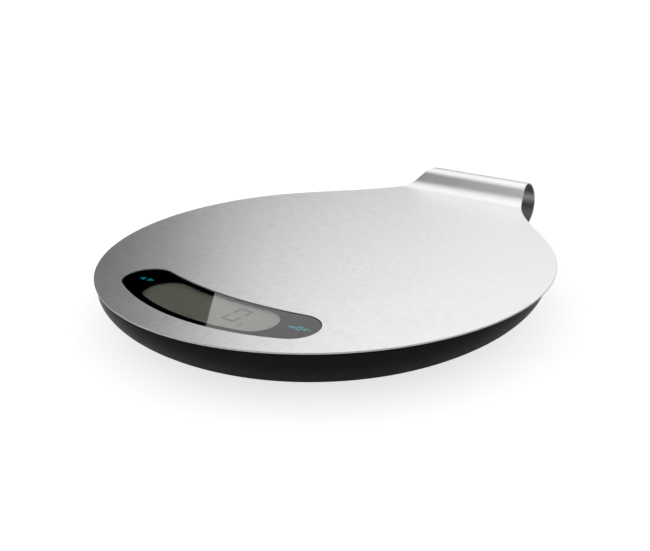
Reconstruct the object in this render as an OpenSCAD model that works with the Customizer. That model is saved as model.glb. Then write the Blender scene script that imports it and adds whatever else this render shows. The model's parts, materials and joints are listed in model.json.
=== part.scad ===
// Thin digital kitchen scale: a steel weighing disc whose neck rolls over into a
// hanging hook, on a shallow black shell with four load-sensing feet.
// Lengths are in millimetres. The display faces -Y and the hook is at +Y.

/* [Weighing disc] */
// Diameter of the weighing disc
disc_d = 190; // [184:1:215]
// Thickness of the steel sheet
sheet_t = 0.6; // [0.5:0.1:0.9]
// Height of the disc's top face above the table
disc_h = 20; // [19.5:0.5:26]
// Thickness of the bonding film under the sheet
bond_t = 0.2; // [0.1:0.05:0.4]
// Distance from the edge of the frame to the bonding film
bond_inset = 2.8; // [1.5:0.1:6]

/* [Hanging hook] */
// Angle from the hook's centre line at which the neck leaves the disc's edge
neck_deg = 48; // [40:1:52]
// How strongly the neck follows the disc's tangent
neck_rim_pull = 35; // [15:1:40]
// Width of the sheet at the end of the neck
hook_w = 52; // [40:0.2:64]
// How strongly the neck runs straight at its end
neck_end_pull = 40; // [25:1:45]
// Distance from the hook's axis to the end of the neck's curve
neck_run = 19; // [14:1:24]
// Distance from the disc's edge to the start of the upward bend
bend_gap = 7; // [4:0.5:12]
// Radius of the upward bend
bend_r = 19; // [12:0.5:26]
// Angle of the ramp up to the hook
bend_deg = 32.5; // [24:0.5:40]
// Length of the flat ramp between the two bends
ramp_l = 3.7; // [1:0.1:8]
// Outer radius of the rolled hook
hook_r = 12.3; // [10:0.1:12.8]
// How far the hook rolls round from its crest
hook_roll = 188; // [150:1:205]
// Radius of the corners of the hook's lower lip
lip_corner = 4; // [1:0.5:6]

/* [Shell] */
// How far the shell's rim lies inside the disc's edge
rim_inset = 2.8; // [2.4:0.1:5]
// How far the shell's axis lies in front of the disc's axis
shell_shift = 2; // [0:0.1:2.3]
// How much smaller the flat base is than the rim, on the radius
base_inset = 12.7; // [9:0.1:15]
// How far the wall's curve is drawn outwards
wall_bulge = 2.8; // [1.5:0.1:4]
// Depth below the rim at which the wall's curve is drawn outwards
bulge_depth = 8.3; // [6:0.1:10]
// Thickness of the shell's wall
shell_wall = 2.4; // [2:0.1:2.6]
// Thickness of the shell's floor
floor_t = 2; // [1.8:0.1:2.4]
// Thickness of the lip that surrounds the frame
lip_t = 1.1; // [0.9:0.1:1.2]

/* [Top frame] */
// Thickness of the frame's plate
frame_t = 1.6; // [1.5:0.1:2.2]
// Clearance between the frame and the shell's lip
frame_fit = 0.15; // [0.1:0.05:0.3]
// Depth of the frame's stiffening ribs
rib_h = 2; // [1:0.1:2.6]
// Thickness of the frame's ribs
rib_t = 1.2; // [0.8:0.1:2]

/* [Display window] */
// Distance from the disc's edge to the window's front edge
window_gap = 12.4; // [11.5:0.1:16]
// Depth of the window at its middle, front to back
window_l = 25.6; // [24:0.1:27]
// Radius of the window's front edge
window_front_r = 98.5; // [90:0.5:120]
// Radius of the window's back edge
window_back_r = 165; // [150:1:200]
// Angle of the window's round ends, seen from the front edge's centre
window_end_deg = 26.2; // [25.8:0.1:27]
// Gap between the lens and the sheet's edge
lens_gap = 0.25; // [0.15:0.05:0.4]
// Depth of the lens below the disc's top face
lens_recess = 0.3; // [0.1:0.05:0.4]
// Thickness of the lens
lens_t = 1.2; // [1:0.05:1.3]
// Thickness of the printed mask behind the lens
mask_t = 0.15; // [0.1:0.05:0.2]
// Clearance round the lens in the frame's pocket
pocket_fit = 0.4; // [0.3:0.05:0.8]
// Width of the mask in front of the visible display
mask_front = 3.6; // [2.5:0.1:4]
// Width of the mask behind the visible display
mask_back = 1.8; // [1.6:0.1:3]
// Angle of the visible display's round ends
display_end_deg = 16.1; // [14:0.1:17]
// How far the frame's opening is wider than the mask's
opening_fit = 0.5; // [0.3:0.1:1]

/* [Display module] */
// Width of the display glass
glass_w = 69.6; // [68.5:0.1:70.4]
// Depth of the display glass, front to back
glass_l = 26.8; // [26:0.1:27.4]
// How far the glass reaches in front of the visible display
glass_front = 2.2; // [1.6:0.1:2.6]
// Thickness of each pane of display glass
pane_t = 1.1; // [0.7:0.1:1.2]
// Width of the contact edge along the back of the upper pane
contact_w = 2.6; // [2.2:0.1:3]
// Thickness of the reflector film
reflector_t = 0.2; // [0.1:0.05:0.3]
// Width of the holder's wall
holder_wall = 1.2; // [0.8:0.1:1.3]
// Clearance of the glass in its holder
holder_fit = 0.2; // [0.1:0.05:0.3]
// Height of the holder's base above the board
holder_base = 1.6; // [1.2:0.1:2]
// Width of the rubber contact strip
strip_w = 1.8; // [1.4:0.1:2]
// Length of the rubber contact strip
strip_l = 62; // [50:1:64]

/* [Circuit board] */
// Distance from a touch pad to the board's side edge
board_side = 2.3; // [1.9:0.1:3.5]
// Depth of the circuit board, front to back
board_l = 28; // [27:0.5:29]
// Thickness of the circuit board
board_t = 1.2; // [0.8:0.1:1.6]
// Distance from the window's back edge to the board's back edge
board_back = 7; // [6.5:0.1:7.5]
// Distance from the frame's edge to the board's trimmed front corners
board_edge = 4.8; // [4.4:0.1:6]
// Distance from the board's side edges to its screws
board_screw_side = 3; // [2.6:0.1:3.2]
// Distance between the board screws along the board
board_screw_l = 13.6; // [13:0.1:14]
// Distance from the board's back edge to its back screws
board_screw_back = 6.5; // [6:0.1:7]
// Radius of the frame's bosses for the board screws
board_boss_r = 2.6; // [2:0.1:2.8]
// Radius of a touch pad
touch_r = 3.2; // [2.5:0.1:3.3]
// Gap between the display's holder and a touch pad
touch_gap = 1.1; // [0.9:0.1:1.3]
// Least width of the frame between the display's opening and a touch pad's hole
touch_web = 1; // [0.8:0.1:2]
// Distance from the window's back edge to the touch pads
touch_back = 6.3; // [6:0.1:6.6]
// Clearance round a touch pad in the frame
touch_fit = 0.4; // [0.2:0.1:0.6]
// Radius of the controller's drop of resin
resin_r = 6; // [4:0.5:7]
// Height of the drop of resin
resin_h = 1.1; // [0.8:0.1:1.1]
// Distance of the drop of resin from the middle of the board
resin_x = 10; // [6:1:14]
// Length of a small board part
chip_l = 2; // [1.6:0.1:2.4]
// Distance between the small board parts
chip_pitch = 5; // [4:0.5:5.5]
// Distance from the drop of resin to the first small board part
chip_gap = 4; // [2:0.5:5]

/* [Feet and load sensors] */
// Height of the shell's flat base above the table
foot_drop = 2; // [1.6:0.1:3]
// Distance from the edge of the flat base to a foot's centre
foot_inset = 15.7; // [15:0.1:18]
// Angle of the feet from the left-to-right line
foot_deg = 35.4; // [34:0.1:37]
// Radius of a foot
foot_r = 9; // [7:0.1:9.4]
// Width of a foot's retaining flange
foot_flange = 1.4; // [1:0.1:1.6]
// Thickness of a foot's retaining flange
flange_t = 1; // [0.8:0.1:1.2]
// Clearance between a foot and its hole in the floor
foot_fit = 0.4; // [0.3:0.05:0.6]
// Gap between a foot's flange and the floor
flange_gap = 0.2; // [0.1:0.05:0.4]
// Radius of a foot's rubber pad
pad_r = 7; // [5:0.1:7.4]
// Thickness of a rubber pad
pad_t = 1.4; // [1:0.1:1.5]
// How deep a rubber pad sits in its foot
pad_seat = 0.6; // [0.4:0.1:0.8]
// Clearance round a rubber pad
pad_fit = 0.1; // [0.05:0.05:0.2]
// Radius of a foot's stem
stem_r = 3; // [2.4:0.1:3.6]
// Radius of the peg on top of a stem
peg_r = 1.4; // [1:0.1:1.6]
// Clearance of the peg in the sensor's hole
peg_fit = 0.1; // [0.05:0.05:0.2]
// Height of the posts that carry the sensors
post_h = 4; // [3.2:0.1:4.4]
// Width of a square load sensor
sensor_w = 26; // [24.5:0.1:27]
// Thickness of a load sensor
sensor_t = 2; // [1.5:0.1:2.4]
// Width of the sensor's loaded tongue
tongue_w = 9; // [8:0.1:9.6]
// Width of the slot round the tongue
tongue_slot = 2; // [1.5:0.1:2.2]
// Distance between a sensor's screws, along each side
sensor_screw_w = 20; // [19.4:0.1:20.4]
// Radius of the posts under a sensor
post_r = 2.6; // [2.2:0.1:2.8]
// Radius of the guide ring round a foot's flange
ring_fit = 0.6; // [0.4:0.1:0.8]

/* [Battery bay] */
// Diameter of a battery cell
cell_d = 10.5; // [10.4:0.05:10.8]
// Length of a battery cell with its button
cell_l = 44.5; // [43.5:0.1:45]
// Gap between the two cells
cell_gap = 0.5; // [0.3:0.1:0.8]
// Clearance round the cells in the bay
cell_fit = 0.3; // [0.2:0.05:0.5]
// Length of the sprung contacts
spring_l = 5.5; // [4.5:0.1:6]
// Thickness of the contact plates
contact_t = 0.5; // [0.4:0.05:0.6]
// Thickness of the bay's walls and roof
bay_wall = 1.2; // [1:0.05:1.3]
// Distance from the shell's axis to the bay's centre
bay_y = 14; // [12:0.5:16]
// Thickness of the hatch
hatch_t = 1.5; // [1.3:0.05:1.6]
// How much wider the hatch is than the bay, on each side
hatch_lap = 2.1; // [1.6:0.1:2.4]
// Gap round the hatch
hatch_gap = 0.2; // [0.15:0.05:0.3]
// Thickness of the floor round the hatch
surround_t = 3; // [2.8:0.1:3.4]
// Width of the thick floor round the hatch
surround_w = 3; // [2.8:0.1:3.6]
// Width of each hatch tab
tab_w = 8; // [6:0.5:10]
// Reach of each hatch tab over the floor
tab_l = 2.2; // [1.6:0.1:2.3]
// Thickness of each hatch tab
tab_t = 0.9; // [0.7:0.05:1]
// Distance between the hatch tabs
tab_span = 32; // [28:1:36]
// Width of the hatch's snap tongue
snap_w = 12; // [10:0.5:14]
// Length of the hatch's snap tongue
snap_l = 9; // [7:0.5:10]
// Radius of the finger recess behind the hatch
scoop_r = 7; // [6:0.5:8]
// Depth of the finger recess
scoop_t = 1.2; // [0.8:0.1:1.4]

/* [Screws] */
// Radius of a shell screw's thread
shell_screw_r = 1.25; // [1:0.05:1.4]
// Length of a shell screw below its head
shell_screw_l = 11; // [9:0.5:11.5]
// Radius of a shell screw's head
shell_head_r = 2.8; // [2.4:0.1:3]
// Height of a shell screw's head
shell_head_h = 1.8; // [1.4:0.1:2]
// Depth of the screw recesses in the base
screw_recess = 3; // [2.6:0.1:3.4]
// Wall of the bosses for the shell screws
boss_wall = 1.9; // [1.6:0.1:2.2]
// Height of the joint between the shell's and the frame's bosses
boss_split = 10; // [9:0.5:11]
// Distance from the base's edge to the outer screws
screw_inset = 9.5; // [8.5:0.5:10.5]
// Angle of the back screws from the right-hand side
back_screw_deg = 70; // [66:1:72]
// Distance from the shell's axis to the front screw
front_screw_y = 38; // [34:1:40]
// Radius of a small screw's thread
small_screw_r = 1; // [0.8:0.05:1.1]
// Radius of a small screw's head
small_head_r = 2; // [1.7:0.1:2.2]
// Height of a small screw's head
small_head_h = 1.2; // [0.9:0.1:1.4]
// Clearance of a thread in its pilot hole
thread_fit = 0.05; // [0.03:0.01:0.08]
// Clearance of a screw in the part that it clamps
clamp_fit = 0.3; // [0.2:0.05:0.4]
// How far the board screws reach into the frame
board_screw_grip = 3; // [2.4:0.1:3.4]
// Free depth beyond the end of a screw
thread_run = 0.4; // [0.3:0.1:0.6]

/* [Wires] */
// Width of a sensor's ribbon lead
ribbon_w = 2.4; // [1.6:0.1:2.6]
// Thickness of a sensor's ribbon lead
ribbon_t = 0.8; // [0.5:0.1:1]
// Gap between the battery bay's wall and the back sensors' leads
lane_gap = 1.2; // [0.8:0.1:1.6]
// Thickness of a battery lead
wire_t = 1.2; // [0.8:0.1:1.4]

/* [Hidden] */
$fn = 96;
eps = 0.01;
far = 300;
steps = 12;

disc_r = disc_d / 2;
under_z = disc_h - sheet_t;
frame_top = under_z - bond_t;
frame_under = frame_top - frame_t;
lens_top = disc_h - lens_recess;
lens_under = lens_top - lens_t;
mask_under = lens_under - mask_t;

bend_y = disc_r + bend_gap;
hook_y = bend_y + (bend_r + hook_r) * sin(bend_deg) + ramp_l * cos(bend_deg);
hook_z = disc_h + bend_r * (1 - cos(bend_deg)) + ramp_l * sin(bend_deg)
       - hook_r * cos(bend_deg);
disc_y = -(hook_y + hook_r - disc_r) / 2;

rim_r = disc_r - rim_inset;
base_r = rim_r - base_inset;
base_z = foot_drop;
floor_z = base_z + floor_t;
lip_r = rim_r - lip_t;
wall_step = 0.2;
lip_step = 0.05;
tangent_lap = 0.003;
frame_r = lip_r - frame_fit;

window_front = -(disc_r - window_gap);
window_back = window_front + window_l;
front_arc_y = window_front + window_front_r;
back_arc_y = window_back + window_back_r;
display_front_r = window_front_r - mask_front;
display_back_r = window_back_r + mask_back;
display_front = window_front + mask_front;

holder_x = glass_w / 2 + holder_fit + holder_wall;
glass_y = display_front - glass_front;
glass_under = frame_under - 2 * pane_t;
reflector_under = glass_under - reflector_t;
board_top = reflector_under - holder_base;
board_under = board_top - board_t;
board_y = window_back + board_back;
board_r = frame_r - board_edge;
touch_y = window_back - touch_back;
display_end = kidney_end(display_front_r, display_back_r, display_end_deg);
touch_reach = display_end[2] + opening_fit + touch_web + touch_fit + touch_r;
touch_x = max(holder_x + touch_gap + touch_r,
              display_end[0] + sqrt(pow(touch_reach, 2) - pow(touch_y - display_end[1], 2)));
board_x = touch_x + touch_r + board_side;
film_gap = 0.6;
strip_y = glass_y + glass_l - contact_w / 2;
bond_window = 1.2;
resin_crown = resin_r * 0.75;
chip_w = chip_l * 0.6;
chip_h = chip_l * 0.4;
chip_x = resin_x + resin_r + chip_gap;

foot_ring = base_r - foot_inset;
foot_x = foot_ring * cos(foot_deg);
foot_y = foot_ring * sin(foot_deg);
flange_r = foot_r + foot_flange;
flange_z = floor_z + flange_gap;
sensor_z = floor_z + post_h;
sensor_top = sensor_z + sensor_t;
pad_top = pad_t;
foot_under = pad_t - pad_seat;
tongue_back = 6.5;
tongue_root = 8;
potting_x = foot_x - tongue_root - 1;
potting_flat = 2;
blob_r = 2.6;
blob_h = 0.8;
ring_wall = 1.2;
ring_rise = 0.6;

bay_l = cell_l + contact_t + spring_l;
cell_pitch = cell_d + cell_gap;
bay_w = cell_pitch + cell_d + 2 * cell_fit;
hatch_z = base_z + 0.1;
hatch_top = hatch_z + hatch_t;
hatch_x = bay_l / 2 + hatch_lap;
hatch_half = bay_w / 2 + hatch_lap;
cell_z = hatch_top + cell_fit + cell_d / 2;
bay_top = cell_z + cell_d / 2 + cell_fit;
tab_gap = 0.1;
tab_fit = 0.3;
tab_end_fit = 0.4;
tab_root = 1.2;
tab_room = tab_l + hatch_t + tab_t + tab_gap;
catch_l = 0.6;
catch_w = snap_w - 2.8;
catch_t = 1.3;
catch_h = 1.1;
snap_slit = 0.8;
ridge_l = snap_w - 4;
ridge_w = 0.6;
ridge_pitch = 1.4;
ridge_deep = 0.4;
scoop_shift = 1;
button_l = 1.2;
button_r = 1.9;
plate_half = 4;
plate_rise = 4.4;
leaf_w = 4;
leaf_rise = 4.2;
leaf_tip = 0.8;
solder_w = 3;
solder_fit = 0.2;

head_z = base_z + screw_recess;
pilot_top = head_z + shell_screw_l + thread_run;
boss_r = shell_head_r + clamp_fit + boss_wall;
frame_boss_r = shell_screw_r + boss_wall;
screw_ring = base_r - screw_inset;
screw_spots = [
    [screw_ring, 0], [-screw_ring, 0], [0, -front_screw_y],
    [screw_ring * cos(back_screw_deg), screw_ring * sin(back_screw_deg)],
    [-screw_ring * cos(back_screw_deg), screw_ring * sin(back_screw_deg)]];
rib_angles = [-22, 22, 48, 90, 132, 158, 202];
rib_from = norm([bay_l / 2 + bay_wall, bay_y + bay_w / 2 + bay_wall]) + rib_h;
rib_to = frame_r - board_edge;
lane = bay_l / 2 + bay_wall + lane_gap + ribbon_w / 2;

steel = [0.78, 0.78, 0.79];
black_plastic = [0.09, 0.09, 0.1];
frame_plastic = [0.16, 0.16, 0.17];
rubber = [0.2, 0.2, 0.2];
copper = [0.75, 0.6, 0.35];
zinc = [0.7, 0.71, 0.72];

function reversed(v) = [for (i = [len(v) - 1:-1:0]) v[i]];

// Points on Bezier curves with three and four control points
function curve3(a, b, c, t) = a * (1 - t) * (1 - t) + b * 2 * t * (1 - t) + c * t * t;
function curve4(a, b, c, d, t) =
    a * pow(1 - t, 3) + b * 3 * t * pow(1 - t, 2) + c * 3 * t * t * (1 - t) + d * pow(t, 3);

// Moves a shape from the disc's axis into the part's frame
module on_disc() translate([0, disc_y, 0]) children();

// The same for what is centred on the shell's axis
module on_shell() translate([0, disc_y - shell_shift, 0]) children();

// The neck's right-hand edge, from the disc's rim to the hook
rim_point = [disc_r * sin(neck_deg), disc_r * cos(neck_deg)];
rim_dir = [-cos(neck_deg), sin(neck_deg)];
neck_end = [hook_w / 2, hook_y + neck_run];
neck_edge = [for (i = [0:2 * steps])
    curve4(rim_point, rim_point + rim_dir * neck_rim_pull,
           neck_end - [0, neck_end_pull], neck_end, i / (2 * steps))];

// Half the width of the lip, a hair less than the sheet's where it turns downwards at
// the back of the hook, so that no two of their faces nearly coincide
lip_half = lookup(hook_y + hook_r, [for (p = neck_edge) [p[1], p[0]]]) - lip_step;
lip_y = hook_y + hook_r * sin(hook_roll);

// A band bent round the origin between two angles, which run clockwise from +Y
module arc_band(r_in, r_out, from, to) {
    sweep = (to - from) / 6;
    intersection() {
        difference() {
            circle(r = r_out);
            circle(r = r_in);
        }
        polygon(concat([[0, 0]],
            [for (i = [0:6]) 2 * r_out * [sin(from + i * sweep), cos(from + i * sweep)]]));
    }
}

// The sheet seen from the side: flat, bent up, straight ramp, rolled over
module side_view() {
    ramp = [cos(bend_deg), sin(bend_deg)];
    ramp_from = [bend_y + bend_r * sin(bend_deg), disc_h + bend_r * (1 - cos(bend_deg))];
    ramp_run = (ramp_l + 2 * eps) * ramp;
    skin = sheet_t * [sin(bend_deg), -cos(bend_deg)];
    translate([-disc_r - 1, under_z]) square([disc_r + 1 + bend_y + eps, sheet_t]);
    translate([bend_y, disc_h + bend_r]) arc_band(bend_r, bend_r + sheet_t, 180 - bend_deg, 180);
    translate(-eps * ramp)
        polygon([ramp_from + skin, ramp_from + skin + ramp_run, ramp_from + ramp_run, ramp_from]);
    translate([hook_y, hook_z]) arc_band(hook_r - sheet_t, hook_r, -bend_deg, hook_roll);
}

module sheet_outline() {
    circle(r = disc_r);
    polygon(concat(neck_edge, reversed([for (p = neck_edge) [-p[0], p[1]]])));
}

// The hook's lower lip seen from above, with rounded corners
module lip_outline() {
    translate([-lip_half, lip_y + lip_corner]) square([2 * lip_half, 2 * hook_r + lip_corner]);
    translate([-lip_half + lip_corner, lip_y]) square([2 * (lip_half - lip_corner), 2 * hook_r]);
    for (s = [-1, 1])
        translate([s * (lip_half - lip_corner), lip_y + lip_corner]) circle(r = lip_corner);
}

// The right-hand round end of a kidney outline between two arcs, as [x, y, radius]
function kidney_end(front_r, back_r, deg) =
    let (gap = back_arc_y - front_arc_y,
         sum = front_r + back_r,
         reach = (sum * sum - gap * gap) / (2 * (sum + gap * cos(deg))))
    [reach * sin(deg), front_arc_y - reach * cos(deg), front_r - reach];

// A kidney outline. Its round ends are a hair larger than tangent circles, so that they
// cross the arcs clearly
module kidney(front_r, back_r, deg, grow) {
    e = kidney_end(front_r, back_r, deg);
    back_deg = atan2(e[0], back_arc_y - e[1]);
    f = [(front_r + grow) * sin(deg), front_arc_y - (front_r + grow) * cos(deg)];
    b = [(back_r - grow) * sin(back_deg), back_arc_y - (back_r - grow) * cos(back_deg)];
    low = front_arc_y - front_r - grow - 1;
    for (s = [-1, 1]) translate([s * e[0], e[1]]) circle(r = e[2] + grow + tangent_lap);
    difference() {
        intersection() {
            translate([0, front_arc_y]) circle(r = front_r + grow);
            polygon([b, [e[0], e[1]], f, [f[0], low], [-f[0], low], [-f[0], f[1]],
                     [-e[0], e[1]], [-b[0], b[1]]]);
        }
        translate([0, back_arc_y]) circle(r = back_r - grow);
    }
}

module window_shape(grow = 0)
    kidney(window_front_r, window_back_r, window_end_deg, grow);

module display_shape(grow = 0)
    kidney(display_front_r, display_back_r, display_end_deg, grow);

module slab(z0, z1) translate([0, 0, z0]) linear_extrude(z1 - z0) children();

module box(x0, x1, y0, y1, z0, z1)
    translate([x0, y0, z0]) cube([x1 - x0, y1 - y0, z1 - z0]);

module rod(r, z0, z1) translate([0, 0, z0]) cylinder(r = r, h = z1 - z0);

// The shell's wall in section: a curve from the rim to the flat base
wall_a = [rim_r, frame_top];
wall_b = [rim_r + wall_bulge, frame_top - bulge_depth];
wall_c = [base_r, base_z];
function wall_point(t) = curve3(wall_a, wall_b, wall_c, t);
function wall_dir(t) =
    let (d = (wall_b - wall_a) * (1 - t) + (wall_c - wall_b) * t) d / norm(d);
function wall_inside(t) =
    let (d = wall_dir(t)) wall_point(t) + [d[1], -d[0]] * shell_wall;
outer_wall = [for (i = [0:steps]) wall_point(i / steps)];
inner_wall = [for (i = [0:steps]) wall_inside(i / steps)];
function inner_r(z) = lookup(z, [for (p = inner_wall) [p[1], p[0]]]);

module shell_section() {
    upper = [for (p = reversed(inner_wall))
        if (p[1] > floor_z + wall_step && p[1] < frame_under - wall_step) p];
    polygon(concat(
        [[0, base_z]], reversed(outer_wall),
        [[lip_r, frame_top], [lip_r, frame_under], [inner_r(frame_under), frame_under]],
        reversed(upper), [[inner_r(floor_z), floor_z], [0, floor_z]]));
}

// Places its children at each of the four feet
module at_feet() for (x = [-foot_x, foot_x], y = [-foot_y, foot_y]) translate([x, y, 0]) children();

module at_posts()
    for (x = [-1, 1], y = [-1, 1])
        translate([x, y, 0] * sensor_screw_w / 2) children();

// The screws sit at a sensor's back corner on the inside and its front corner on the
// outside; side is 1 on the right and -1 on the left
module at_sensor_screws(side)
    for (s = [-1, 1]) translate([-s * side, s, 0] * sensor_screw_w / 2) children();

module at_shell_screws() for (p = screw_spots) translate([p[0], p[1], 0]) children();

module at_board_screws()
    for (x = [-1, 1], i = [0, 1])
        translate([x * (board_x - board_screw_side),
                   board_y - board_screw_back - i * board_screw_l, 0])
            children();

module at_touch_pads()
    for (s = [-1, 1]) translate([s * touch_x, touch_y, 0]) children();

// A screw with a cross recess, its head's seat at z = 0 and its thread upwards
module screw(r, l, head_r, head_h) {
    slot_w = head_r * 0.3;
    slot_l = head_r * 1.2;
    difference() {
        union() {
            rod(r, -eps, l);
            rod(head_r, -head_h, 0);
        }
        for (a = [0, 90]) rotate(a)
            translate([-slot_l / 2, -slot_w / 2, -head_h - eps])
                cube([slot_l, slot_w, head_h * 0.55]);
    }
}

// A point beside a path's corner i, at a distance r to the left of both its lines
function left_of(a, b) = let (d = (b - a) / norm(b - a)) [-d[1], d[0]];
function beside(p, i, r) =
    let (n1 = left_of(p[max(i - 1, 0)], p[max(i, 1)]),
         n2 = left_of(p[min(i, len(p) - 2)], p[min(i + 1, len(p) - 1)]))
    p[i] + r * (n1 + n2) / (1 + n1 * n2);

// A flat wire of width w that lies between two heights along the given [x, y] points
module wire(points, w, z0, z1) slab(z0, z1)
    polygon(concat([for (i = [0:len(points) - 1]) beside(points, i, -w / 2)],
                   reversed([for (i = [0:len(points) - 1]) beside(points, i, w / 2)])));

module platter() color(steel) on_disc()
    difference() {
        intersection() {
            rotate([90, 0, 90])
                linear_extrude(2 * disc_r + 2, center = true) side_view();
            union() {
                slab(hook_z, disc_h + 2 * hook_r) sheet_outline();
                slab(hook_z - 2 * hook_r, hook_z) lip_outline();
            }
        }
        slab(under_z - 1, disc_h + 1) window_shape();
    }

module platter_bond() color("white") {
    difference() {
        on_shell() rod(frame_r - bond_inset, frame_top, under_z);
        on_disc() slab(frame_top - 1, under_z + 1) window_shape(bond_window);
    }
}

module frame_bosses() {
    on_shell() at_shell_screws() rod(frame_boss_r, boss_split, frame_under + eps);
    on_disc() at_board_screws() rod(board_boss_r, board_top, frame_under + eps);
}

module frame_ribs() on_shell()
    for (a = rib_angles) rotate(a)
        box(rib_from, rib_to, -rib_t / 2, rib_t / 2, frame_under - rib_h, frame_under + eps);

module top_frame() color(frame_plastic)
    difference() {
        union() {
            on_shell() rod(frame_r, frame_under, frame_top);
            frame_bosses();
            frame_ribs();
        }
        on_disc() {
            slab(mask_under, frame_top + 1) window_shape(pocket_fit - lens_gap);
            slab(frame_under - 1, mask_under + 1) display_shape(opening_fit);
            at_touch_pads() rod(touch_r + touch_fit, frame_under - 1, mask_under + 1);
            at_board_screws()
                rod(small_screw_r + thread_fit, board_top - 1, board_top + board_screw_grip + thread_run);
        }
        on_shell() at_shell_screws() rod(shell_screw_r + thread_fit, boss_split - 1, pilot_top);
    }

module bay_block() translate([0, bay_y, 0]) {
    box(-bay_l / 2 - bay_wall, bay_l / 2 + bay_wall,
        -bay_w / 2 - bay_wall, bay_w / 2 + bay_wall, base_z, bay_top + bay_wall);
    box(-hatch_x - surround_w, hatch_x + surround_w,
        -hatch_half - surround_w, hatch_half + surround_w, base_z, base_z + surround_t);
}

module bay_space() translate([0, bay_y, 0]) {
    box(-bay_l / 2, bay_l / 2, -bay_w / 2, bay_w / 2, base_z - 1, bay_top);
    box(-hatch_x - hatch_gap, hatch_x + hatch_gap,
        -hatch_half - hatch_gap, hatch_half + hatch_gap, base_z - 1, hatch_top);
    // slots for the hatch's tabs, open to the bay
    for (s = [-1, 1])
        box(s * tab_span / 2 - tab_w / 2 - tab_fit, s * tab_span / 2 + tab_w / 2 + tab_fit,
            -hatch_half - tab_l - tab_end_fit, -bay_w / 2 + 1, hatch_top, hatch_z + tab_room);
    // notch for the snap tongue's catch
    box(-snap_w / 2, snap_w / 2, bay_w / 2 - 1, hatch_half + hatch_gap + catch_l,
        hatch_top - eps, base_z + surround_t + 1);
    // slits for the contacts' solder tabs
    for (s = [-1, 1])
        translate([0, s * cell_pitch / 2, 0])
            box(bay_l / 2 - contact_t - solder_fit / 2, bay_l / 2, -solder_w / 2 - solder_fit,
                solder_w / 2 + solder_fit, bay_top - 1, bay_top + bay_wall + 1);
    translate([0, hatch_half + hatch_gap + scoop_shift, 0])
        rod(scoop_r, base_z - 1, base_z + scoop_t);
}

module bottom_shell() color(black_plastic) on_shell()
    difference() {
        union() {
            rotate_extrude($fn = 180) shell_section();
            at_shell_screws() rod(boss_r, base_z + 1, boss_split);
            at_feet() {
                at_posts() rod(post_r, floor_z - eps, sensor_z);
                difference() {
                    rod(flange_r + ring_fit + ring_wall, floor_z - eps,
                        flange_z + flange_t + ring_rise);
                    rod(flange_r + ring_fit, floor_z, flange_z + flange_t + 1);
                }
            }
            bay_block();
        }
        bay_space();
        at_feet() rod(foot_r + foot_fit, base_z - 1, floor_z + 1);
        for (x = [-1, 1], y = [-1, 1]) translate([x * foot_x, y * foot_y, 0])
            at_sensor_screws(x) rod(small_screw_r + thread_fit, floor_z + thread_run, sensor_z + 1);
        at_shell_screws() {
            rod(shell_head_r + clamp_fit, base_z - 1, head_z);
            rod(shell_screw_r + clamp_fit, head_z - 1, boss_split + 1);
        }
    }

module display_lens() color([0.75, 0.8, 0.8, 0.4]) on_disc()
    slab(lens_under, lens_top) window_shape(-lens_gap);

module mask_film() color("black") on_disc()
    slab(mask_under, lens_under)
        difference() {
            window_shape(-lens_gap);
            display_shape();
        }

module lcd_cell() color([0.62, 0.66, 0.6]) on_disc() {
    box(-glass_w / 2, glass_w / 2, glass_y, glass_y + glass_l, frame_under - pane_t, frame_under);
    box(-glass_w / 2, glass_w / 2, glass_y, glass_y + glass_l - contact_w,
        glass_under, frame_under - pane_t + eps);
}

module lcd_reflector() color([0.6, 0.62, 0.56]) on_disc()
    box(-glass_w / 2 + film_gap, glass_w / 2 - film_gap, glass_y + film_gap,
        glass_y + glass_l - contact_w - film_gap, reflector_under, glass_under);

module lcd_holder() color("white") on_disc() {
    x = glass_w / 2 + holder_fit;
    y0 = glass_y - holder_fit;
    y1 = glass_y + glass_l + holder_fit;
    fit = holder_fit / 2;
    difference() {
        box(-holder_x, holder_x, y0 - holder_wall, y1 + holder_wall, board_top, frame_under);
        box(-x, x, y0, y1, reflector_under, frame_under + 1);
        box(-strip_l / 2 - fit, strip_l / 2 + fit, strip_y - strip_w / 2 - fit,
            strip_y + strip_w / 2 + fit, board_top - 1, reflector_under + 1);
        box(-strip_l / 2, strip_l / 2, glass_y + holder_wall, strip_y - strip_w - holder_wall,
            board_top - 1, board_top + holder_base / 2);
    }
}

module contact_strip() color([0.85, 0.6, 0.65]) on_disc()
    box(-strip_l / 2, strip_l / 2, strip_y - strip_w / 2, strip_y + strip_w / 2,
        board_top, frame_under - pane_t);

module main_board() color([0.1, 0.35, 0.2])
    difference() {
        intersection() {
            on_disc() box(-board_x, board_x, board_y - board_l, board_y, board_under, board_top);
            on_shell() rod(board_r, board_under - 1, board_top + 1);
        }
        on_disc() at_board_screws() rod(small_screw_r + clamp_fit, board_under - 1, board_top + 1);
    }

module controller_resin() color([0.06, 0.06, 0.06]) on_disc()
    translate([resin_x, board_y - board_l / 2, 0]) {
        rod(resin_r, board_under - resin_h / 2, board_under);
        rod(resin_crown, board_under - resin_h, board_under - resin_h / 2 + eps);
    }

module board_parts() color([0.72, 0.6, 0.42]) on_disc()
    for (s = [-1, 1], i = [0:3])
        translate([s * (chip_x + chip_pitch * i), board_y - board_l / 2 + chip_l * (i % 2), 0])
            box(-chip_l / 2, chip_l / 2, -chip_w / 2, chip_w / 2, board_under - chip_h, board_under);

module board_screws() color(zinc) on_disc() at_board_screws()
    translate([0, 0, board_under])
        screw(small_screw_r, board_t + board_screw_grip, small_head_r, small_head_h);

module touch_pads() color([0.35, 0.35, 0.36]) on_disc() at_touch_pads()
    rod(touch_r, board_top, mask_under);

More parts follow.
